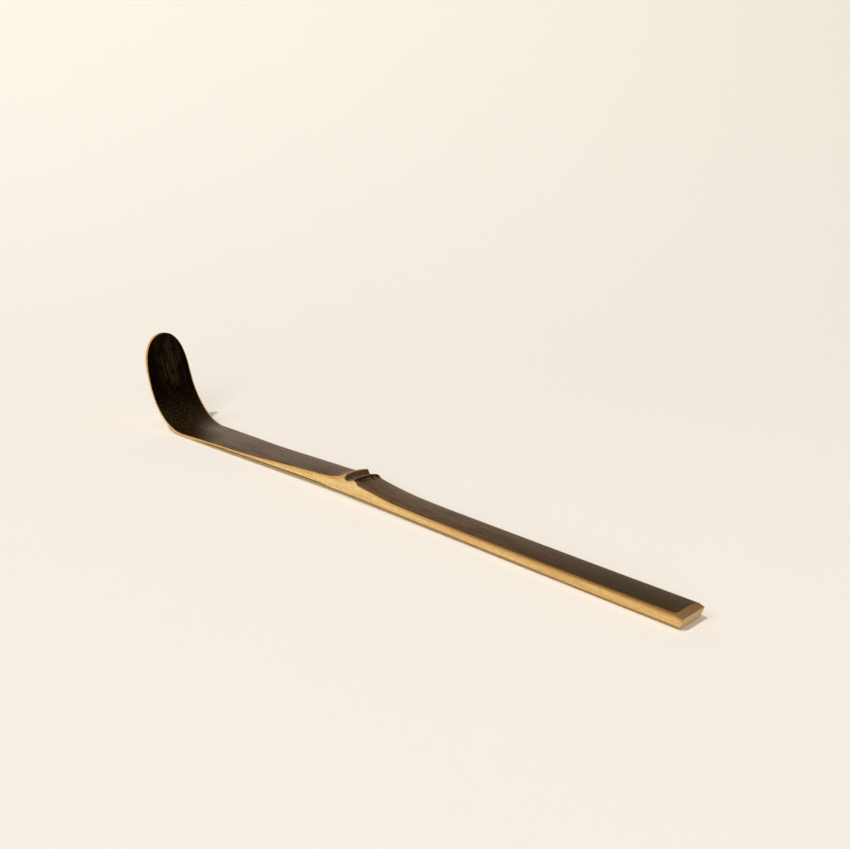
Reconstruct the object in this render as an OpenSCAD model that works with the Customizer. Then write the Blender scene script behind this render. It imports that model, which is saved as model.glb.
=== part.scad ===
// Tea scoop whittled from a single strip of dark-skinned bamboo. The skin faces up. The strip runs almost
// straight from the square-cut tail, over the raised node, to a wide blade that was steamed and bent upwards.
// X runs along the strip with the blade towards -X, Z is up, and the scoop lies on the plane Z = 0.

/* [Strip] */
// Length of the strip along its underside, from the tail to the tip of the blade
strip_length = 182.5; // [174:1:200]
// Distance from the tail end to the middle of the node
node_at = 78.5; // [60:0.5:95]
// Distance from the tail end to the start of the bend
bend_at = 147; // [136:0.5:152]
// Height of the slight arch under the strip, between its two resting points
arch_rise = 0.6; // [0:0.1:1.5]

/* [Width] */
// Width at the tail end
tail_width = 6; // [4.5:0.1:8]
// Width at the node
node_width = 6.5; // [5:0.1:8]
// Width of the shoulder between the node and the bend
shoulder_width = 9.6; // [7:0.1:12]
// Widest place, in the middle of the bend
bend_width = 12.9; // [10:0.1:16]
// Width of the blade just below its round end
blade_width = 12.1; // [9:0.1:15]

/* [Thickness] */
// Thickness at the tail end
tail_thickness = 2.4; // [1.8:0.1:3.5]
// Thickness of the grip, where the strip is thinnest between the tail and the node
grip_thickness = 2.2; // [1.6:0.1:3.2]
// Thickness at the node, without its swelling
node_thickness = 3; // [1.8:0.1:3.5]
// Thickness of the shoulder
shoulder_thickness = 1.4; // [1:0.1:2.5]
// Thickness in the middle of the bend, where the wood was shaved thinnest
bend_thickness = 1.1; // [0.9:0.1:2]
// Thickness of the blade, just above the bend
blade_thickness = 1.3; // [1:0.1:2.2]
// Thickness at the tip of the blade
tip_thickness = 0.9; // [0.7:0.1:1.8]
// How far the rounded skin stands up in the middle of the width
skin_crown = 0.35; // [0:0.05:0.8]
// Small bevel along both edges of the skin
edge_bevel = 0.2; // [0.1:0.05:0.4]
// Wider bevel along both edges of the underside
under_bevel = 0.4; // [0.1:0.05:0.6]

/* [Blade] */
// Radius of the underside in the bend
bend_radius = 19; // [14:0.5:26]
// Angle that the tight part of the bend turns through
bend_angle = 65; // [50:1:75]
// Radius of the underside in the flatter blade above the bend
blade_radius = 39; // [25:1:80]
// Length of the round end of the blade
tip_length = 10.4; // [6:0.2:12]
// Fullness of the round end: 2 is an ellipse, more is squarer
tip_fullness = 2.2; // [1.8:0.1:3]

/* [Node] */
// Height of the swelling round the node
swell_height = 0.9; // [0.4:0.05:2]
// Length over which the swelling fades towards the tail
swell_tail = 16; // [8:1:25]
// Length over which the swelling fades towards the blade
swell_blade = 13; // [6:1:20]
// Height of the sheath scar above the swelling
scar_height = 0.95; // [0.3:0.05:1.5]
// Length of the slope that climbs to the scar from the blade side
scar_slope = 3.9; // [2:0.1:7]
// Height of the lower ridge on the tail side of the groove
ridge_height = 0.4; // [0.1:0.05:1]
// Distance between the crests of the scar and the ridge
groove_width = 3.8; // [2:0.1:5]
// Angle at which the ridge crosses the strip
ridge_slant = 4; // [0:1:20]

/* [Tail] */
// Length of the bevel over the tail end
tail_cut = 1.3; // [0.6:0.1:2.4]
// Depth of that bevel at the edges of the strip; it is deeper in the middle, where the skin stands up
tail_drop = 0.3; // [0.1:0.05:0.8]
// How far the end face leans in under the bevel
tail_undercut = 0.8; // [0:0.1:1]
// How much further back the end face lies at the far edge than at the near edge
tail_skew = 0.3; // [0:0.1:0.5]

/* [Hidden] */

// Facets across the skin
across = 14;
// Spacing of the cross sections in plain, curved and carved stretches, and their number round the tip
plain_step = 3;
curved_step = 1.5;
carved_step = 0.3;
tip_steps = 14;

// Where the first plain cross section lies, past the longest bevel over the tail
square_from = 3;
// Half the stretch over which a change of width or thickness is smoothed
blend = 6;
// Where the thinnest part of the grip lies, as a share of the way to the node
grip_share = 0.8;
// How far past the node the node's width and thickness are reached, and how far past it the shoulder lies
node_gap = 7;
shoulder_gap = 38.5;
// Where the arch peaks: 1 is the middle, more is nearer the bend
arch_lean = 1.75;
// How much nearer the blade the carved relief lies than the middle of the swelling
relief_shift = 1.1;
// Lengths of the steep fall behind the scar, and of the rise and the fall of the ridge
scar_fall = 0.85;
ridge_rise = 2.4;
ridge_fall = 0.9;
// Stretch on both sides of the relief that is still meshed finely
carved_margin = 1;
// The scar is worn round at its near end and cut sharply at its far end
scar_near_end = 0.6;
scar_far_end = 0.25;
// How far the sides lean in towards the skin, and how much further for each millimetre that the node stands up
side_draft = 0.05;
side_lean = 0.2;
// Largest share of the half width or of the thickness that a bevel may take
bevel_share = 1 / 3;
// Taller than any cross section, for those that nothing is cut off
uncut = strip_length;

scar_at = node_at + relief_shift + groove_width / 2;
ridge_at = scar_at - groove_width;
bend_end = bend_at + bend_radius * bend_angle * PI / 180;
widest_at = (bend_at + bend_end) / 2;
round_from = strip_length - tip_length;

function clamp(v) = max(0, min(1, v));
function ease(v) = let(u = clamp(v)) u * u * (3 - 2 * u);
function mean(list) = list * [for (v = list) 1] / len(list);

// Value at distance s from the tail, from a table of named values whose corners are smoothed
function along(s, table) = mean([for (k = [-1 : 0.5 : 1]) lookup(s + k * blend, table)]);

// Half of the width before the tip is rounded, and with the round tip
function blank_half(s) = along(s, [
    [0, tail_width],
    [node_at + node_gap, node_width],
    [node_at + shoulder_gap, shoulder_width],
    [widest_at, bend_width],
    [round_from + blend / 2, blade_width]
]) / 2;
function round_end(s) = pow(1 - pow(clamp((s - round_from) / tip_length), tip_fullness), 1 / tip_fullness);
function half(s) = blank_half(s) * round_end(s);

function thickness(s) = along(s, [
    [0, tail_thickness],
    [node_at * grip_share, grip_thickness],
    [node_at + node_gap, node_thickness],
    [node_at + shoulder_gap, shoulder_thickness],
    [widest_at, bend_thickness],
    [bend_end, blade_thickness],
    [strip_length, tip_thickness]
]);

// Swelling of the wood to both sides of the node
function swelling(s) =
    let(reach = s < node_at ? swell_tail : swell_blade)
    swell_height * pow(clamp(1 - abs(s - node_at) / reach), 2);

// The sheath scar climbs slowly from the blade side and drops steeply towards the tail
function scar(s, y) =
    let(ends = ease((half(s) + y) / scar_near_end) * ease((half(s) - y) / scar_far_end))
    let(front = clamp((scar_at + scar_slope - s) / scar_slope))
    let(back = ease((s - scar_at + scar_fall) / scar_fall))
    scar_height * min(front, back) * ends;

// The lower ridge crosses the strip at a slant, behind the groove
function ridge(s, y) =
    let(d = s - ridge_at + y * tan(ridge_slant))
    ridge_height * min(ease(1 - d / ridge_rise), ease(1 + d / ridge_fall));

// Height of the skin above the underside
function skin(s, y) =
    thickness(s) + skin_crown * (1 - pow(y / blank_half(s), 2)) + swelling(s) + scar(s, y) + ridge(s, y);

// Underside of the strip: [x, z] and its slope at distance s from the tail
function slope(s) =
    s < bend_at ? 0
    : s < bend_end ? (s - bend_at) / bend_radius * 180 / PI
    : bend_angle + (s - bend_end) / blade_radius * 180 / PI;
function arch(s) = arch_rise * sin(180 * pow(clamp(s / bend_at), arch_lean));
function bent(a) = [-bend_at - bend_radius * sin(a), bend_radius * (1 - cos(a))];
function underside(s) =
    s < bend_at ? [-s, arch(s)]
    : s < bend_end ? bent(slope(s))
    : bent(bend_angle) + blade_radius * [
        sin(bend_angle) - sin(slope(s)),
        cos(bend_angle) - cos(slope(s))
    ];

// Point at distance s from the tail, y across the strip and h above its underside
function place(s, y, h) =
    let(p = underside(s) + h * [sin(slope(s)), cos(slope(s))])
    [p[0], y, p[1]];

// Outline of the cross section as [y, h]: the skin from the near to the far edge, then round the underside.
// Nothing in it stands higher than cap.
function outline(s, cap) =
    let(w = half(s))
    let(limit = bevel_share * min(w, thickness(s)))
    let(bevel = min(edge_bevel, limit))
    let(under = min(under_bevel, limit))
    let(top = w - side_draft - side_lean * (swelling(s) + ridge(s, 0)))
    let(edge = top - bevel)
    let(near_h = min(cap, skin(s, -edge)) - bevel)
    let(far_h = min(cap, skin(s, edge)) - bevel)
    concat(
        [for (i = [0 : across])
            let(y = edge * (2 * i / across - 1))
            [y, min(cap, skin(s, y))]],
        [[top, far_h], [w, (under + far_h) / 2], [w, under], [w - under, 0]],
        [[under - w, 0], [-w, under], [-w, (under + near_h) / 2], [-top, near_h]]
    );

// The end face is flat: it leans in under the bevel and lies further back at the far edge
end_height = tail_thickness - tail_drop;
function end_at(p) = tail_skew * (p[0] / tail_width + 0.5) + tail_undercut * (1 - p[1] / end_height);
end_row = [for (p = outline(0, end_height)) place(end_at(p), p[0], p[1])];

// Distances of the cross sections from the tail, close together where the strip is carved or bent
function steps(from, to, step) =
    let(n = max(1, ceil((to - from) / step)))
    [for (i = [0 : n - 1]) from + (to - from) * i / n];
carved_from = ridge_at - ridge_fall - carved_margin;
carved_to = scar_at + scar_slope + carved_margin;
stations = concat(
    [tail_cut],
    steps(square_from, node_at - swell_tail, plain_step),
    steps(node_at - swell_tail, carved_from, curved_step),
    steps(carved_from, carved_to, carved_step),
    steps(carved_to, bend_at, plain_step),
    steps(bend_at, round_from, curved_step),
    [for (i = [0 : tip_steps - 1]) round_from + tip_length * sin(90 * i / tip_steps)]
);

rows = concat(
    [end_row],
    [for (s = stations) [for (p = outline(s, uncut)) place(s, p[0], p[1])]]
);
points = [for (row = rows) each row];

// The scoop is centred over the origin and laid on Z = 0
left = min([for (p = points) p[0]]);
right = max([for (p = points) p[0]]);
lowest = min([for (p = points) p[2]]);

module tea_scoop() {
    ring = len(end_row);
    last = len(rows) - 1;
    walls = [for (i = [0 : last - 1], j = [0 : ring - 1])
        let(k = (j + 1) % ring)
        each [
            [i * ring + j, i * ring + k, (i + 1) * ring + k],
            [i * ring + j, (i + 1) * ring + k, (i + 1) * ring + j]
        ]];
    tail_face = [for (j = [ring - 1 : -1 : 0]) j];
    tip_face = [for (j = [0 : ring - 1]) last * ring + j];
    color("#3a2c22")
        translate([-(left + right) / 2, 0, -lowest])
            polyhedron(points, concat(walls, [tail_face, tip_face]), convexity = 4);
}

tea_scoop();
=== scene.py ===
# %% [markdown]
# # A bamboo tea scoop
# This lesson dresses a scoop for powdered tea. The scoop is one strip of bamboo, cut from a culm that smoke
# has darkened. The dark skin faces up, the golden wood shows wherever the knife has been, and the end was
# steamed and bent into a blade. The packed CAD part gives the frame: its size, its place and its axes, all
# in metres.

# %% Load the part
import bpy
import bmesh
import math
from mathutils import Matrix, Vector


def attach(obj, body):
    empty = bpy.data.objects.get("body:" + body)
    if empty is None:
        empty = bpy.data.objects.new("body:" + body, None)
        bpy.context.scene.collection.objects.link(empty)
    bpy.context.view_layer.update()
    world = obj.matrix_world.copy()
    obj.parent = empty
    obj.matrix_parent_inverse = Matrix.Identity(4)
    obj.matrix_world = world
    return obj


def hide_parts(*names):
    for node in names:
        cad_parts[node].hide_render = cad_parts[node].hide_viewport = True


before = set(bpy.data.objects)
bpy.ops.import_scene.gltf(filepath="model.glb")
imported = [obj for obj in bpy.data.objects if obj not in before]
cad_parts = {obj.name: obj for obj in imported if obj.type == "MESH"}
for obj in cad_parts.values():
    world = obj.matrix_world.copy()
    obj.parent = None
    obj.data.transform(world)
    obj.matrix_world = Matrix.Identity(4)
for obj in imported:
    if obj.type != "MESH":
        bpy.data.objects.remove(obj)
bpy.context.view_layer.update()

# %% [markdown]
# ## The camera
# The photograph looks down on the scoop from beside its tail, and the tail comes out much larger than the
# blade. That ratio depends on where the camera stands, so the place below was solved from the edges of the
# strip. An empty scene has no camera, and the object's size doesn't change, so only the camera has to be
# found.

# %% Camera
CAMERA_PLACE = (0.150831, -0.112538, 0.062573)
CAMERA_PITCH, CAMERA_TURN = 14.346, 48.395
FOCAL_PIXELS, PHOTO_WIDTH = 926.5, 850
SENSOR_WIDTH, CLIP_START = 36, 0.005

camera = bpy.data.objects.new("camera", bpy.data.cameras.new("camera"))
camera.location = CAMERA_PLACE
camera.rotation_euler = (math.radians(90 - CAMERA_PITCH), 0, math.radians(CAMERA_TURN))
camera.data.sensor_width = SENSOR_WIDTH
camera.data.lens = FOCAL_PIXELS / PHOTO_WIDTH * SENSOR_WIDTH
camera.data.clip_start = CLIP_START
bpy.context.collection.objects.link(camera)
bpy.context.scene.camera = camera
print("lens:", round(camera.data.lens, 2), "mm")

# %% [markdown]
# ## Arithmetic with nodes
# The shape and the finish of the scoop are both formulas. A node tree can hold a formula, but one Math node
# for each plus sign is hard to read. This small class wraps a socket, so that an expression such as
# `2 * width - 1` adds its Math nodes by itself. It serves the Geometry Nodes of the strip and the shader
# nodes of its finish.

# %% A socket that can do sums
class Wire:
    """One socket of a node tree, written into Python expressions as if it were a number."""

    def __init__(self, tree, socket=None):
        self.tree = tree
        self.socket = socket

    def node(self, kind, settings, sockets, output=0):
        """Adds a node: its settings first, then a value or a link for each socket. Gives one output."""
        made = self.tree.nodes.new(kind)
        for name, value in settings.items():
            setattr(made, name, value)
        for name, value in sockets.items():
            if isinstance(value, Wire):
                self.tree.links.new(value.socket, made.inputs[name])
            else:
                made.inputs[name].default_value = value
        return Wire(self.tree, made.outputs[output])

    def math(self, operation, *values):
        """Adds one Math node."""
        return self.node("ShaderNodeMath", {"operation": operation}, dict(enumerate(values)))

    def __add__(self, other):
        return self.math("ADD", self, other)

    def __sub__(self, other):
        return self.math("SUBTRACT", self, other)

    def __rsub__(self, other):
        return self.math("SUBTRACT", other, self)

    def __mul__(self, other):
        return self.math("MULTIPLY", self, other)

    def __truediv__(self, other):
        return self.math("DIVIDE", self, other)

    def __rtruediv__(self, other):
        return self.math("DIVIDE", other, self)

    def __pow__(self, other):
        return self.math("POWER", self, other)

    __radd__ = __add__
    __rmul__ = __mul__

    def least(self, other):
        return self.math("MINIMUM", self, other)

    def most(self, other):
        return self.math("MAXIMUM", self, other)

    def spread(self, low, high, to_low=0.0, to_high=1.0, smooth=False):
        """Goes from to_low to to_high as the value goes from low to high, and stays there outside."""
        ease = {"interpolation_type": "SMOOTHSTEP"} if smooth else {}
        return self.node("ShaderNodeMapRange", ease, {0: self, 1: low, 2: high, 3: to_low, 4: to_high})

    def clamp(self):
        return self.spread(0.0, 1.0)

    def ease(self, low=0.0, high=1.0):
        """Goes from 0 to 1 as the value goes from low to high, with a smooth start and end."""
        return self.spread(low, high, smooth=True)

    def sin(self):
        return self.math("SINE", self)

    def cos(self):
        return self.math("COSINE", self)

    def table(self, stops):
        """Straight lines between stops of (place, value), as a lookup table gives."""
        total = stops[0][1]
        for (low, before), (high, after) in zip(stops, stops[1:]):
            total = self.spread(low, high, 0.0, after - before) + total
        return total


print("operators ready:", [name for name in vars(Wire) if name.startswith("__r")])

# %% [markdown]
# ## The strip as a rule
# A maker thinks of the strip in three numbers: how far along it a point lies, how far across, and how high
# above the underside. Its width, its thickness, the swelling at the node and the bend are each a rule in
# the distance along. So a flat grid is made, with one column for each step round the section, and every
# point of it is moved to where the rules put it. The rules are those of the CAD part, in millimetres, with
# finer steps. Modelling by hand would give the same silhouette, but the rules keep the section exact where
# the strip turns.

# %% Sizes of the strip in millimetres
SIZES = {
    "Strip length": 182.5, "Node at": 78.5, "Bend at": 147.0, "Arch rise": 0.6,
    "Tail width": 6.0, "Node width": 6.5, "Shoulder width": 9.6, "Bend width": 12.9, "Blade width": 12.1,
    "Tail thickness": 2.4, "Grip thickness": 2.2, "Node thickness": 3.0, "Shoulder thickness": 1.4,
    "Bend thickness": 1.1, "Blade thickness": 1.3, "Tip thickness": 0.9,
    "Skin crown": 0.35, "Edge bevel": 0.2, "Under bevel": 0.4,
    "Bend radius": 19.0, "Bend angle": 65.0, "Blade radius": 39.0, "Tip length": 10.4, "Tip fullness": 2.2,
    "Swell height": 0.9, "Swell tail": 16.0, "Swell blade": 13.0,
    "Scar height": 0.95, "Scar slope": 3.9, "Ridge height": 0.4, "Groove width": 3.8, "Ridge slant": 4.0,
    "Tail cut": 1.3, "Tail drop": 0.3, "Tail undercut": 0.8, "Tail skew": 0.3,
}
# Lengths, shares and slants that are not inputs: of the blends, of the node's relief and of the sides
BLEND, GRIP_SHARE, NODE_GAP, SHOULDER_GAP, ARCH_LEAN = 6.0, 0.8, 7.0, 38.5, 1.75
RELIEF_SHIFT, SCAR_FALL, RIDGE_RISE, RIDGE_FALL = 1.1, 0.85, 2.4, 0.9
SCAR_NEAR_END, SCAR_FAR_END, SIDE_DRAFT, SIDE_LEAN, BEVEL_SHARE = 0.6, 0.25, 0.05, 0.2, 1 / 3

tree = bpy.data.node_groups.new("whittled_strip", "GeometryNodeTree")
tree.interface.new_socket("Geometry", in_out="OUTPUT", socket_type="NodeSocketGeometry")
for name, value in SIZES.items():
    tree.interface.new_socket(name, in_out="INPUT", socket_type="NodeSocketFloat").default_value = value
tree.interface.new_socket("Finish", in_out="INPUT", socket_type="NodeSocketMaterial")
given = tree.nodes.new("NodeGroupInput")
size = {socket.name: Wire(tree, socket) for socket in given.outputs if socket.name}
maker = Wire(tree)
print("inputs of the strip:", len(size))

# %% [markdown]
# ### Rows and columns
# The grid's rows become cross sections and its columns run lengthwise. Rows are spent where something
# happens: they lie 0.06 mm apart over the carved node, and far apart along the plain shank. The first rows
# shrink to a point, which closes the tail with a flat face, the next ones make the bevel over it, and the
# last ones crowd together where the blade's end turns.

# %% Rows and columns of the grid
# The last rows of the cap, of the bevel over it and of the strip below its round end, then the rows round it
CAP, BEVEL, LAST_STRAIGHT, TIP_ROWS = 8, 16, 572, 48
# How far the fine rows reach in millimetres: past the bevel, and round the node's relief and its swelling
AFTER_BEVEL, BEFORE_RELIEF, AFTER_RELIEF, BEFORE_SWELL = 1.5, 3.0, 8.5, 17.0
# Each corner of the section, with the column in which it lies
COLUMNS = [(0, "near skin"), (40, "far skin"), (44, "far side"), (52, "far low"), (56, "far foot"),
           (66, "near foot"), (70, "near low"), (78, "near side"), (82, "near skin again")]
last_row, last_column = LAST_STRAIGHT + TIP_ROWS, COLUMNS[-1][0]

grid = maker.node("GeometryNodeMeshGrid", {}, {"Size X": float(last_row), "Size Y": float(last_column),
                                               "Vertices X": last_row + 1, "Vertices Y": last_column + 1})
index = maker.node("GeometryNodeInputIndex", {}, {})
row = maker.math("FLOOR", (index + 0.5) / (last_column + 1))
column = index - row * (last_column + 1)

tip_from = size["Strip length"] - size["Tip length"]
# The rows between which the spacing stays the same, with their distances from the tail
ROWS = [(CAP, 0.0), (BEVEL, size["Tail cut"]), (BEVEL + 8, size["Tail cut"] + AFTER_BEVEL),
        (150, size["Node at"] - BEFORE_SWELL), (204, size["Node at"] - BEFORE_RELIEF),
        (394, size["Node at"] + AFTER_RELIEF), (500, size["Bend at"]), (LAST_STRAIGHT, tip_from)]
tip_turn = row.spread(LAST_STRAIGHT, last_row, 0.0, math.pi / 2)
nominal = row.table(ROWS) + size["Tip length"] * tip_turn.sin()
print("grid:", last_row + 1, "sections of", last_column, "points")

# %% [markdown]
# ### Width, thickness and the node
# Each of these rules is a table of named sizes whose corners are smoothed by taking the mean of five
# places. The tip is rounded with a power a little over 2, which is fuller than an ellipse. At the node the
# wood swells, and over it stand the scar that the sheath left, steep towards the tail, and a lower ridge
# behind a groove.

# %% Rules along the strip
# A hair under 1, so that the last row closes to a point
FULL = 0.9999

scar_at = size["Node at"] + RELIEF_SHIFT + size["Groove width"] / 2
ridge_at = scar_at - size["Groove width"]
bend_turn = size["Bend angle"] * (math.pi / 180)
bend_end = size["Bend at"] + size["Bend radius"] * bend_turn
widest_at = (size["Bend at"] + bend_end) / 2
node_side, shoulder = size["Node at"] + NODE_GAP, size["Node at"] + SHOULDER_GAP


def smoothed(stops):
    """The table's value at the row's distance, with its corners blended as the CAD source blends them."""
    samples = [(nominal + shift * BLEND).table(stops) for shift in (-1, -0.5, 0, 0.5, 1)]
    return sum(samples[1:], samples[0]) / len(samples)


blank_half = smoothed([(0.0, size["Tail width"]), (node_side, size["Node width"]),
                       (shoulder, size["Shoulder width"]), (widest_at, size["Bend width"]),
                       (tip_from + BLEND / 2, size["Blade width"])]) / 2
into_tip = ((nominal - tip_from) / size["Tip length"]).clamp()
half = blank_half * (FULL - into_tip ** size["Tip fullness"]).clamp() ** (1 / size["Tip fullness"])
thickness = smoothed([(0.0, size["Tail thickness"]), (size["Node at"] * GRIP_SHARE, size["Grip thickness"]),
                      (node_side, size["Node thickness"]), (shoulder, size["Shoulder thickness"]),
                      (widest_at, size["Bend thickness"]), (bend_end, size["Blade thickness"]),
                      (size["Strip length"], size["Tip thickness"])])
to_tail = (1 - (size["Node at"] - nominal) / size["Swell tail"]).clamp()
to_blade = (1 - (nominal - size["Node at"]) / size["Swell blade"]).clamp()
swelling = size["Swell height"] * to_tail.least(to_blade) ** 2
print("nodes so far:", len(tree.nodes))

# %% [markdown]
# ### Round the section
# The section is a flat bar. Its skin edges have a small round bevel, and its lower edges a wider flat one,
# cut with one long stroke of the knife. Round the bar, four tables say where each point belongs: at which
# side, at which level, and how far into the upper or the lower bevel. The skin's height also depends on how
# far across a point lies, because the culm was round and the node's relief is not the same from edge to
# edge.

# %% Rules round the section
def around(*values):
    """A table round the section, with one value for each of its named corners."""
    return column.table([(at, value) for (at, _), value in zip(COLUMNS, values)])


side = around(-1, 1, 1, 1, 1, -1, -1, -1, -1)
level = around(1, 1, 1, 0, 0, 0, 0, 1, 1)
upper_turn = around(0, 0, math.pi / 2, math.pi / 2, math.pi / 2, math.pi / 2, math.pi / 2, math.pi / 2, 0)
under = around(0, 0, 0, 0, 1, 1, 0, 0, 0)
limit = BEVEL_SHARE * half.least(thickness)
bevel, under_bevel = size["Edge bevel"].least(limit), size["Under bevel"].least(limit)
slant = size["Ridge slant"] * (math.pi / 180)


def ridge_height(across):
    """Height of the lower ridge, which crosses the strip at a slant."""
    to_ridge = nominal - ridge_at + across * (slant.sin() / slant.cos())
    rise, fall = (1 - to_ridge / RIDGE_RISE).ease(), (1 + to_ridge / RIDGE_FALL).ease()
    return size["Ridge height"] * rise.least(fall)


# The sides lean in over their upper half, and further where the node stands up
lean = (SIDE_DRAFT + SIDE_LEAN * (swelling + ridge_height(0.0))) * (2 * level - 1).clamp()
flank = (half - lean).most(0.0)
across_core = side * (flank - bevel)
scar_ends = ((half + across_core) / SCAR_NEAR_END).ease() * ((half - across_core) / SCAR_FAR_END).ease()
scar_front = ((scar_at + size["Scar slope"] - nominal) / size["Scar slope"]).clamp()
scar_back = ((nominal - scar_at + SCAR_FALL) / SCAR_FALL).ease()
scar = size["Scar height"] * scar_front.least(scar_back) * scar_ends
crown = size["Skin crown"] * (1 - (across_core / blank_half) ** 2)
end_height = size["Tail thickness"] - size["Tail drop"]
past_bevel = row.spread(CAP, BEVEL)
skin = thickness + crown + swelling + scar + ridge_height(across_core)
skin = end_height + (skin - end_height) * past_bevel
print("nodes so far:", len(tree.nodes))

# %% Points of the section
shrink = row.spread(0, CAP)
across = side * (flank - bevel * (1 - upper_turn.sin()) - under_bevel * under) * shrink
low_height = under_bevel * (1 - under)
height = low_height + level * (skin - bevel * (1 - upper_turn.cos()) - low_height)
height = end_height / 2 + (height - end_height / 2) * shrink
print("nodes so far:", len(tree.nodes))

# %% [markdown]
# ### Along the bend
# The underside first arches up a little, because the strip rests only on its tail and on the bend. Then it
# follows one arc and, higher up, a flatter one. Each point stands square on that line at its own height, so
# the thickness stays true round the bend. The end face at the tail leans in and is a little skew, as a
# knife leaves it.

# %% Rules that bend the strip
MILLIMETRE = 0.001

far_share = across / size["Tail width"] + 0.5
tail_end = size["Tail skew"] * far_share + size["Tail undercut"] * (1 - height / end_height)
along = nominal + tail_end * (1 - past_bevel)
flat_part = along.least(size["Bend at"])
first_turn = ((along - size["Bend at"]) / size["Bend radius"]).most(0.0).least(bend_turn)
blade_turn = ((along - bend_end) / size["Blade radius"]).most(0.0)
turned = first_turn + blade_turn
arch = size["Arch rise"] * (math.pi * (flat_part / size["Bend at"]).clamp() ** ARCH_LEAN).sin()
under_x = size["Blade radius"] * (bend_turn.sin() - (bend_turn + blade_turn).sin())
under_z = size["Blade radius"] * (bend_turn.cos() - (bend_turn + blade_turn).cos())
under_x = under_x - flat_part - size["Bend radius"] * first_turn.sin()
under_z = under_z + arch + size["Bend radius"] * (1 - first_turn.cos())
in_millimetres = (under_x + height * turned.sin(), across, under_z + height * turned.cos())
in_metres = [value * MILLIMETRE for value in in_millimetres]
print("nodes so far:", len(tree.nodes))

# %% [markdown]
# ### What the finish needs to know
# The finish follows the fibres, and the fibres follow the bend. So each point keeps its distance along, its
# distance across and its height as attributes. A fourth one, the inset, counts millimetres inwards from the
# skin's edge, and goes negative down the side: the border between dark skin and pale wood is where it
# passes zero. Two more tell how far a point has gone past the end face, and how far under the strip it
# lies.

# %% Place the points and keep their rules
MERGE_WITHIN = 2e-6

placed = maker.node("GeometryNodeSetPosition", {}, {
    "Geometry": grid, "Position": maker.node("ShaderNodeCombineXYZ", {}, dict(enumerate(in_metres)))})
far_corner = COLUMNS[1][0]
back_at_near_corner = column.spread(last_column - 1, last_column)
on_skin = column.spread(far_corner, far_corner + 1, 1.0, 0.0).most(back_at_near_corner)
to_edge = flank - bevel - maker.math("ABSOLUTE", across_core)
inset = to_edge * on_skin - (skin - height) * (1 - on_skin)
for name, value in (("along", along), ("across", across), ("height", height), ("inset", inset),
                    ("past_end", past_bevel), ("under", under)):
    placed = maker.node("GeometryNodeStoreNamedAttribute", {"data_type": "FLOAT", "domain": "POINT"},
                        {"Geometry": placed, "Name": name, "Value": value})
print("nodes so far:", len(tree.nodes))

# %% Centre the strip, lay it down and close it
box = maker.node("GeometryNodeBoundBox", {}, {"Geometry": placed}).socket.node


def reach(corner, axis):
    """How far the strip reaches to one corner of its box, along X (0), Y (1) or Z (2)."""
    return maker.node("ShaderNodeSeparateXYZ", {}, {"Vector": Wire(tree, box.outputs[corner])}, axis)


settle = maker.node("ShaderNodeCombineXYZ", {}, {
    "X": (reach("Min", 0) + reach("Max", 0)) * -0.5, "Z": reach("Min", 2) * -1})
settled = maker.node("GeometryNodeSetPosition", {}, {"Geometry": placed, "Offset": settle})
closed = maker.node("GeometryNodeMergeByDistance", {}, {"Geometry": settled, "Distance": MERGE_WITHIN})
whole = maker.node("GeometryNodeRealizeInstances", {}, {"Geometry": closed})
dressed = maker.node("GeometryNodeSetMaterial", {}, {"Geometry": whole, "Material": size["Finish"]})
tree.links.new(dressed.socket, tree.nodes.new("NodeGroupOutput").inputs[0])
print("nodes in the finished tree:", len(tree.nodes))

# %% [markdown]
# ### From the tree to a plain mesh
# The tree runs as a modifier on an empty seed object. Its inputs are set before it is first evaluated, then
# the result is copied out as an ordinary mesh and the seed is thrown away, so nothing is left to evaluate
# later.

# %% Turn the tree into a plain mesh
bamboo = bpy.data.materials.new("smoked_bamboo")
seed = bpy.data.objects.new("strip_seed", bpy.data.meshes.new("strip_seed"))
bpy.context.collection.objects.link(seed)
maker_modifier = seed.modifiers.new("whittled_strip", "NODES")
maker_modifier.node_group = tree
for socket in tree.interface.items_tree:
    if socket.in_out == "INPUT":
        maker_modifier[socket.identifier] = bamboo if socket.name == "Finish" else SIZES[socket.name]
evaluated = seed.evaluated_get(bpy.context.evaluated_depsgraph_get())
strip_mesh = bpy.data.meshes.new_from_object(evaluated)
bpy.data.objects.remove(seed)
strip_mesh.name = "tea_scoop_strip"
print("strip:", len(strip_mesh.vertices), "points,", len(strip_mesh.polygons), "faces")

# %% [markdown]
# ### One closed skin
# A grid rolled into a strip has a seam along one skin edge and a point at each end. Merging what lies
# together closes them, and then every face can be turned outwards. The printed count of open edges has to
# be 0. Edges sharper than 38 degrees stay crisp, such as those the knife left at the tail and round the
# bevels.

# %% Point the faces outwards
SHORTEST_EDGE, CRISP_ANGLE = 1e-7, 38

shell = bmesh.new()
shell.from_mesh(strip_mesh)
bmesh.ops.remove_doubles(shell, verts=shell.verts, dist=MERGE_WITHIN)
bmesh.ops.dissolve_degenerate(shell, edges=shell.edges, dist=SHORTEST_EDGE)
bmesh.ops.recalc_face_normals(shell, faces=shell.faces)
open_edges = [edge for edge in shell.edges if not edge.is_manifold]
print("open edges:", len(open_edges), "volume in mm3:", round(1e9 * shell.calc_volume(), 1))
shell.to_mesh(strip_mesh)
shell.free()
strip_mesh.shade_smooth()
strip_mesh.set_sharp_from_angle(angle=math.radians(CRISP_ANGLE))
strip = bpy.data.objects.new("bamboo_strip", strip_mesh)
bpy.context.collection.objects.link(strip)
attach(strip, "root")
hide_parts("tea_scoop")

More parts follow.
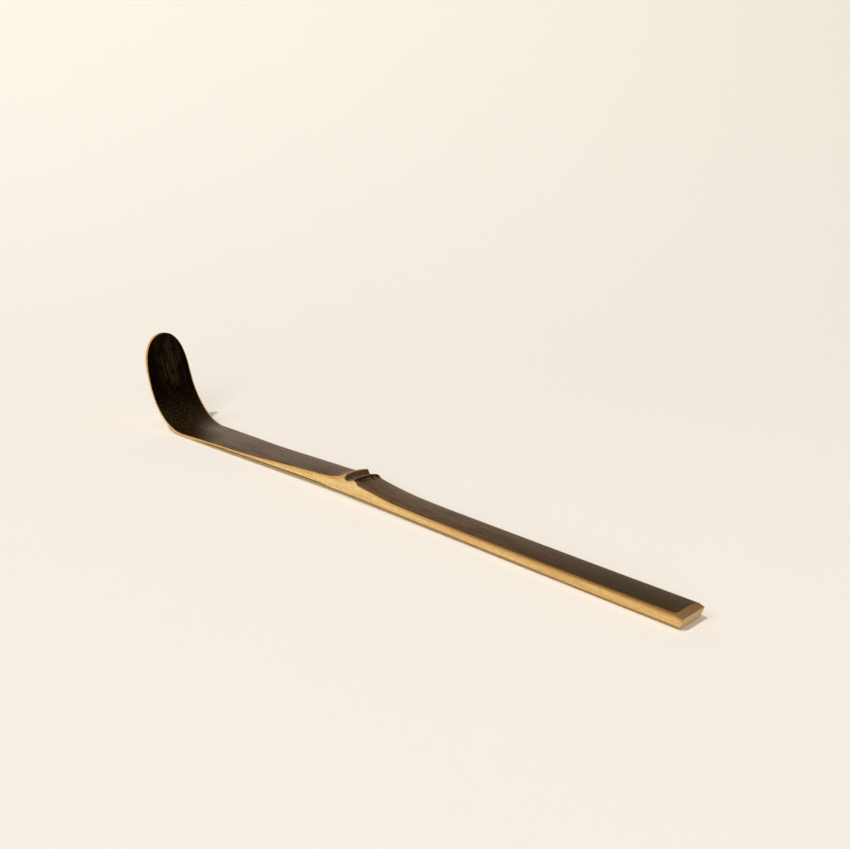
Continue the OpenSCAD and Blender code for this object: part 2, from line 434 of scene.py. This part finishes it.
# %% [markdown]
# ## The finish
# One strip carries two finishes. The outside of the culm is a hard skin that years of smoke have turned
# brown and, on the blade, black. Inside it the wood is golden, with straight fibres that show as fine lines
# wherever the knife has cut. Both are painted by formulas of the strip's own coordinates, so that every
# streak runs lengthwise round the bend, as real fibres do. An image would need unwrapping, and it would
# blur in a close view.

# %% Coordinates for the finish
bamboo.use_nodes = True
shader = bamboo.node_tree
shader.nodes.clear()
paint = Wire(shader)


def kept(name):
    """One of the distances in millimetres that the geometry tree stored on the mesh."""
    return paint.node("ShaderNodeAttribute", {"attribute_name": name}, {}, "Fac")


def grain(per_along, per_across, per_height, detail=3.0, roughness=0.6, offset=0.0):
    """Noise between 0 and 1, with its repeats in a millimetre along, across and through the strip."""
    where = paint.node("ShaderNodeCombineXYZ", {}, {
        0: along * per_along + offset, 1: across * per_across, 2: height * per_height})
    return paint.node("ShaderNodeTexNoise", {}, {
        "Vector": where, "Scale": 1.0, "Detail": detail, "Roughness": roughness})


def mix(share, low, high):
    """Goes from one colour to another with the share. Some sockets share a name, so numbers pick them."""
    return paint.node("ShaderNodeMix", {"data_type": "RGBA"}, {0: share, 6: low, 7: high}, 2)


def between(value, low, high, soft):
    """1 between two places and 0 outside them. Each end is soft over the last number to both sides."""
    return value.ease(low - soft, low + soft) * value.ease(high + soft, high - soft)


along, across, height, inset, past_end, under = (
    kept(name) for name in ("along", "across", "height", "inset", "past_end", "under"))
# 0 on the near half of the strip and 1 on the far half
far = across.ease(-0.5, 0.5)
print("coordinates kept:", [attribute.name for attribute in strip_mesh.attributes
                            if attribute.data_type == "FLOAT"])

# %% [markdown]
# ### The dark skin
# Smoke soaks in unevenly. On the shank the skin is brown, in clouds and faint streaks, and on the tail side
# of the node it is more reddish. The shank is also darker towards the tail. On the blade it is almost black,
# with brown flecks round the bend. On the near half of the bend the black reaches further down, as painted
# shade. Higher up, lighter streaks down the middle of the blade are a painted reflection. Streaks, flecks
# and
# clouds are noises: the first are stretched along the fibres, the second are round and small, and the third
# are broad.

# %% Dark skin
BLACK, FLECK, PAINTED_REFLECTION = (0.0010, 0.0003, 0.0001, 1), (0.115, 0.062, 0.018, 1), (0.029, 0.018, 0.008, 1)
BROWN, DULL_BROWN, REDDISH = (0.112, 0.064, 0.030, 1), (0.050, 0.027, 0.012, 1), (0.110, 0.058, 0.034, 1)
TAIL_BROWN = (0.048, 0.028, 0.013, 1)
# Places in millimetres from the tail, each from where a change starts to where it is complete
TO_TAIL, TO_BLADE, FLECKS_FADE, REFLECTION_STARTS = (58.0, 8.0), (132.0, 154.0), (150.0, 166.0), (162.0, 172.0)
REDDISH_FROM, REDDISH_TO = 66.0, 77.5
# Where the painted reflection lies across the blade, and how far the black reaches down for each millimetre
# across: on the near half of the bend it reaches further, as painted shade
REFLECTION_AT, NEAR_SHADE_SLANT = 0.7, 1.5

streaks = grain(0.05, 2.4, 0.0, detail=4.0, roughness=0.65)
flecks = grain(2.4, 2.4, 0.0, detail=4.0, roughness=0.75, offset=3.0)
clouds = grain(0.14, 0.55, 0.0, detail=3.0, offset=51.0)
# Lighter streaks down the middle of the upper blade: a painted reflection
reflection_patches = grain(0.25, 0.5, 0.0, offset=17.0).ease(0.35, 0.6)
reflection_share = ((across - REFLECTION_AT) ** 2).ease(22.0, 2.0) * along.ease(*REFLECTION_STARTS) * reflection_patches
blade_colour = mix(streaks.ease(0.35, 0.70) * reflection_share, BLACK, PAINTED_REFLECTION)
blade_colour = mix(flecks.ease(0.51, 0.62) * along.spread(*FLECKS_FADE, 0.9, 0.1), blade_colour, FLECK)
shank_colour = mix((streaks * 0.40 + flecks * 0.35 + clouds * 0.25).ease(0.40, 0.58), DULL_BROWN, BROWN)
# Darker towards the tail
shank_colour = mix(along.ease(*TO_TAIL) * 0.95, shank_colour, TAIL_BROWN)
# The black reaches further down the near half of the bend: painted shade
skin_colour = mix((along - across * NEAR_SHADE_SLANT).ease(*TO_BLADE), shank_colour, blade_colour)
reddish = between(along, REDDISH_FROM, REDDISH_TO, 4.0) * grain(0.3, 0.8, 0.0, offset=9.0).ease(0.35, 0.65)
skin_colour = mix(reddish * 0.35, skin_colour, REDDISH)
print("shader nodes so far:", len(shader.nodes))

# %% [markdown]
# ### The cut wood
# The wood is densest, and so most orange, right under the skin, and it pales inwards. Towards the blade
# it is paler too, partly its own tone and partly painted light. Fine fibres run along it, with short darker
# dashes. From the tail to the node the lower bevel, which faces the floor, is painted darker brown, as
# painted shade with a little brown of its own. Beyond the node the bevel keeps its own colour, and a thin
# dark line of painted shade runs along its upper edge. The end grain at the tail is paler.

# %% Cut wood
PALE, GOLD, ORANGE = (0.73, 0.545, 0.26, 1), (0.54, 0.355, 0.135, 1), (0.44, 0.215, 0.055, 1)
SHADED_BEVEL_BROWN, END_GRAIN, DARK_WOOD_AND_EDGE_SHADE = (0.34, 0.18, 0.055, 1), (0.50, 0.36, 0.20, 1), (0.12, 0.060, 0.018, 1)
# Places in millimetres from the tail, each from where a change starts to where it is complete
PALER, BEVEL_SHADE_ENDS, LINE_STARTS, LINE_ENDS = (35.0, 85.0), (96.0, 84.0), (84.0, 92.0), (146.0, 134.0)
# Heights above the underside between which the line of painted shade runs
LINE_LOW, LINE_HIGH = 0.33, 0.70

fibres = grain(0.10, 5.0, 5.0, detail=4.0, roughness=0.65)
dashes = grain(0.9, 6.0, 6.0, detail=2.0, offset=11.0)
blade_half = along.ease(*PALER)
near_skin = inset.ease(-1.1, -0.1) * (1 - far * 0.5)
# Paler towards the blade: partly the wood's own tone, partly painted light
wood_colour = mix((blade_half * 0.5 + fibres.spread(0.38, 0.62, -0.4, 0.6)).clamp(), GOLD, PALE)
wood_colour = mix(near_skin * 0.8, wood_colour, ORANGE)
wood_colour = mix(dashes.ease(0.50, 0.66) * 0.6, wood_colour, ORANGE)
# The dense wood under the skin, darkest towards the tail: its own colour
wood_colour = mix(near_skin ** 2 * (1 - blade_half) * 0.8, wood_colour, DARK_WOOD_AND_EDGE_SHADE)
# Low on the side, but not underneath
on_bevel = height.ease(0.68, 0.45) * under.ease(1.0, 0.7)
# Painted shade on the lower bevel, which faces the floor, with a little brown of its own, up to the node
wood_colour = mix(on_bevel * along.ease(*BEVEL_SHADE_ENDS), wood_colour, SHADED_BEVEL_BROWN)
# A thin dark line of painted shade along the upper edge of the lower bevel
edge_shade = between(height, LINE_LOW, LINE_HIGH, 0.06) * along.ease(*LINE_STARTS) * along.ease(*LINE_ENDS)
wood_colour = mix(edge_shade * 0.95, wood_colour, DARK_WOOD_AND_EDGE_SHADE)
wood_colour = mix(past_end.ease(0.04, 0.0), wood_colour, END_GRAIN)
print("shader nodes so far:", len(shader.nodes))

# %% [markdown]
# ### Where the skin ends
# The knife left the skin a little ragged. Its colour wraps over the near bevel by about a fifth of a
# millimetre, and by half a millimetre round the node. On the far edge the bevel shows bare wood as a thin
# bright line, except where the ends of the scar are dark. At the tail the skin stops short of the end. So
# the border is a table along the strip for each edge: places in millimetres from the tail, and insets at
# which the skin ends.

# %% Border between skin and wood
NEAR_BORDER = [(0.0, -0.02), (6.0, -0.06), (60.0, -0.22), (72.3, -0.35), (74.0, -0.42), (76.0, -0.47),
               (77.4, -0.55), (78.2, -0.50), (78.6, -0.38), (79.7, -0.30), (80.7, -0.36), (81.1, -0.55),
               (81.50, -0.60), (81.58, 0.20), (83.3, 0.05), (85.2, -0.01), (87.0, -0.14), (92.0, -0.20),
               (140.0, -0.22), (150.0, -0.28), (168.0, -0.25), (174.0, 0.0)]
FAR_BORDER = [(0.0, 0.15), (60.0, 0.28), (75.0, 0.28), (77.0, 0.05), (79.0, -0.30), (82.0, -0.30),
              (83.0, 0.05), (88.0, 0.25), (120.0, 0.20), (150.0, 0.25), (168.0, 0.15), (178.0, 0.0)]
# Where the skin ends at the tail, and how far across its end starts to round off
SKIN_END, SKIN_CORNER = 1.3, 1.9

ragged = grain(0.9, 2.0, 2.0, detail=3.0, offset=5.0) - 0.5
near_border = along.table(NEAR_BORDER)
border = near_border + (along.table(FAR_BORDER) - near_border) * far
corner = (across.math("ABSOLUTE", across) - SKIN_CORNER).most(0.0) ** 2 * 0.5
skin_share = (inset - border + ragged * 0.14).ease(-0.04, 0.04)
skin_share = skin_share * (along - SKIN_END - corner).ease(-0.05, 0.10)
print("stops of the border:", len(NEAR_BORDER))

# %% [markdown]
# ### The node
# The sheath left a scar right round the culm. Its crest is rubbed to a thin ochre line, the face behind it
# is dark and pitted, and the groove is a paler brown. A black line runs along the lower ridge, with a frayed
# edge towards the tail. An ochre wash lies on the blade side of the crest, towards the edges of the strip.

# %% Colours of the node
OCHRE, SCAR, PIT = (0.32, 0.20, 0.06, 1), (0.054, 0.031, 0.015, 1), (0.26, 0.18, 0.10, 1)
GROOVE, BLACK_RIDGE_LINE = (0.115, 0.072, 0.043, 1), (0.008, 0.004, 0.002, 1)
CREST_AT = SIZES["Node at"] + RELIEF_SHIFT + SIZES["Groove width"] / 2
RIDGE_AT = CREST_AT - SIZES["Groove width"]
# Distances from the crest towards the tail: the scar's face ends, the groove starts, the rubbed crest ends
FACE_ENDS, GROOVE_STARTS, RUBBED_BACK = 1.0, 1.6, 0.22
# Distances from the crest towards the blade, and the length of the frayed edge behind the ridge
RUBBED_FRONT, WASH_REACH, FRAY_LENGTH = 0.04, 2.2, 1.8

pits = grain(2.6, 2.6, 2.6, detail=2.0, offset=21.0)
face = mix(pits.ease(0.52, 0.68) * 0.5, SCAR, PIT)
node_colour = mix(along.ease(CREST_AT - FACE_ENDS, CREST_AT - GROOVE_STARTS), face, GROOVE)
dressed_skin = mix(between(along, RIDGE_AT, CREST_AT - 0.25, 0.08), skin_colour, node_colour)
fringe = grain(0.3, 1.9, 0.0, detail=3.0, offset=31.0).ease(0.42, 0.62) * across.spread(-3.0, 3.0, 1.0, 0.4)
past_ridge = along - RIDGE_AT + across * 0.04
frayed = (past_ridge + fringe * FRAY_LENGTH).ease(-0.42, -0.18)
ridge_line = past_ridge.ease(0.28, 0.14) * frayed * inset.ease(-0.45, -0.20)
dressed_skin = mix(ridge_line * 0.95, dressed_skin, BLACK_RIDGE_LINE)
rubbed = between(along, CREST_AT - RUBBED_BACK, CREST_AT + RUBBED_FRONT, 0.05)
dressed_skin = mix(rubbed, dressed_skin, OCHRE)
wash = along.ease(CREST_AT + WASH_REACH, CREST_AT) * along.ease(CREST_AT - 0.1, CREST_AT)
wash = wash * inset.ease(1.8, 0.1)
dressed_skin = mix(wash * 0.7, dressed_skin, OCHRE)
print("crest at", CREST_AT, "and ridge at", RIDGE_AT, "mm from the tail")

# %% [markdown]
# ### The bevel over the tail
# The small bevel over the end cuts through the skin at a slant, so it shows wood that smoke has browned. It
# is the only cut face on top of the strip: the inset is positive there, and the distance along is short.

# %% Colour everywhere
FACET = (0.19, 0.115, 0.052, 1)

facet_share = past_end.ease(0.0, 0.04) * inset.ease(-0.15, 0.05) * along.ease(SKIN_END + 0.3, SKIN_END)
bare_colour = mix(facet_share, wood_colour, FACET)
colour = mix(skin_share, bare_colour, dressed_skin)
print("shader nodes so far:", len(shader.nodes))

# %% [markdown]
# ### Sheen and relief
# The skin has a dull natural wax, and the wood has none. A coat of wax reflects most at a flat angle, which
# is how the shank turns greyish in the photograph while the blade stays black. Its weight is a table along
# the strip, broken up by the streaks and the flecks, and over the bend it is rubbed off in lines. The
# relief of fibres and streaks is only a few hundredths of a millimetre deep, so a bump does it.

# %% Put the finish together
SHEEN = [(0.0, 0.28), (40.0, 0.40), (66.0, 0.48), (77.0, 0.46), (92.0, 0.48), (120.0, 0.44),
         (140.0, 0.80), (152.0, 0.55), (164.0, 0.03), (182.0, 0.02)]
BEND_FROM, BEND_TO = 134.0, 158.0
WAX_ROUGHNESS, WAX_IOR, BUMP_DEPTH = 0.36, 1.4, 0.0001

bent = between(along, BEND_FROM, BEND_TO, 6.0)
brushed = grain(0.12, 2.2, 0.0, detail=3.0, roughness=0.7, offset=41.0).ease(0.40, 0.62) * 0.5
brushed = (1 - bent * brushed) * (1 - bent * across.ease(2.0, -4.0) * 0.7)
carved = between(along, RIDGE_AT - 0.2, CREST_AT, 0.1)
mottled = streaks.spread(0.3, 0.7, 0.7, 1.15) * flecks.spread(0.4, 0.6, 0.75, 1.25)
sheen = skin_share * along.table(SHEEN) * mottled * (1 - carved) * (1 - ridge_line * 0.8) * brushed
roughness = 0.62 - skin_share * 0.12 + fibres * 0.12
relief = fibres * (1 - skin_share) + streaks * skin_share * 0.5
bump = paint.node("ShaderNodeBump", {}, {"Strength": 0.3, "Distance": BUMP_DEPTH, "Height": relief})
surface = paint.node("ShaderNodeBsdfPrincipled", {}, {
    "Base Color": colour, "Roughness": roughness, "Specular IOR Level": 0.01, "Coat Weight": sheen,
    "Coat Roughness": WAX_ROUGHNESS, "Coat IOR": WAX_IOR, "Normal": bump})
shader.links.new(surface.socket, shader.nodes.new("ShaderNodeOutputMaterial").inputs[0])
print("nodes in the finish:", len(shader.nodes))

# %% [markdown]
# ## Floor and backdrop
# The scoop lies on pale warm paper that curves up behind it, so that no horizon shows. The curve is wide
# and starts just behind the scoop, so the paper turns away from the lamps slowly and stays even. It runs
# square to the camera.

# %% Floor and backdrop
SWEEP_FROM, SWEEP_RADIUS, SWEEP_TURN, FLOOR_HALF, SWEEP_STEPS = 0.1, 2.1, 60.0, 4.0, 24
PAPER = (0.90, 0.866, 0.812, 1)

profile = [(-FLOOR_HALF, 0.0), (SWEEP_FROM, 0.0)]
for turn in range(1, SWEEP_STEPS + 1):
    angle = math.radians(SWEEP_TURN) * turn / SWEEP_STEPS
    profile.append((SWEEP_FROM + SWEEP_RADIUS * math.sin(angle), SWEEP_RADIUS * (1 - math.cos(angle))))
ahead = Vector((-math.sin(camera.rotation_euler.z), math.cos(camera.rotation_euler.z), 0))
sideways = Vector((ahead.y, -ahead.x, 0))
up = Vector((0, 0, 1))
edges = [sideways * -FLOOR_HALF, sideways * FLOOR_HALF]
corners = [ahead * out + up * rise + edge for out, rise in profile for edge in edges]
faces = [(2 * i, 2 * i + 1, 2 * i + 3, 2 * i + 2) for i in range(len(profile) - 1)]
floor_mesh = bpy.data.meshes.new("floor")
floor_mesh.from_pydata(corners, [], faces)
floor_mesh.shade_smooth()
floor = bpy.data.objects.new("floor", floor_mesh)
bpy.context.collection.objects.link(floor)

paper = bpy.data.materials.new("paper")
paper.use_nodes = True
for name, value in (("Base Color", PAPER), ("Roughness", 0.95), ("Specular IOR Level", 0.1)):
    paper.node_tree.nodes["Principled BSDF"].inputs[name].default_value = value
floor_mesh.materials.append(paper)
print("floor faces:", len(floor_mesh.polygons))

# %% [markdown]
# ## Light
# Nearly half of the light comes from a small lamp high up on the left, which draws the crisp edges of the
# shadows at the tail and at the bend. One wide lamp stands low behind the camera and another to its left,
# so that the cut side is as bright as the paper and hardly any shadow shows under it. A dim lamp overhead
# and a warm room fill the rest. All the lamps stand metres away, so the floor is lit evenly.

# %% Light
ROOM, WARM = (0.18, 0.155, 0.12, 1), (1.0, 0.95, 0.88)

bpy.context.scene.view_settings.view_transform = "Standard"
world = bpy.data.worlds.new("room")
world.use_nodes = True
world.node_tree.nodes["Background"].inputs["Color"].default_value = ROOM
bpy.context.scene.world = world


def lamp(name, place, width, watts, tint=(1, 1, 1)):
    """A square area lamp that faces the scoop, with its place and width in metres."""
    made = bpy.data.objects.new(name, bpy.data.lights.new(name, "AREA"))
    made.data.size = width
    made.data.energy = watts
    made.data.color = tint
    made.location = place
    made.rotation_euler = (-Vector(place)).to_track_quat("-Z", "Y").to_euler()
    bpy.context.collection.objects.link(made)


lamp("key", (-0.08, -1.72, 3.60), 0.20, 76.0)
lamp("overhead", (-0.10, 0.25, 4.20), 0.80, 12.0)
lamp("softbox", (-0.90, -3.10, 2.35), 1.8, 27.0)
lamp("low_fill", ahead * -4.7 + up * 1.7, 3.0, 156.0, WARM)

# %% [markdown]
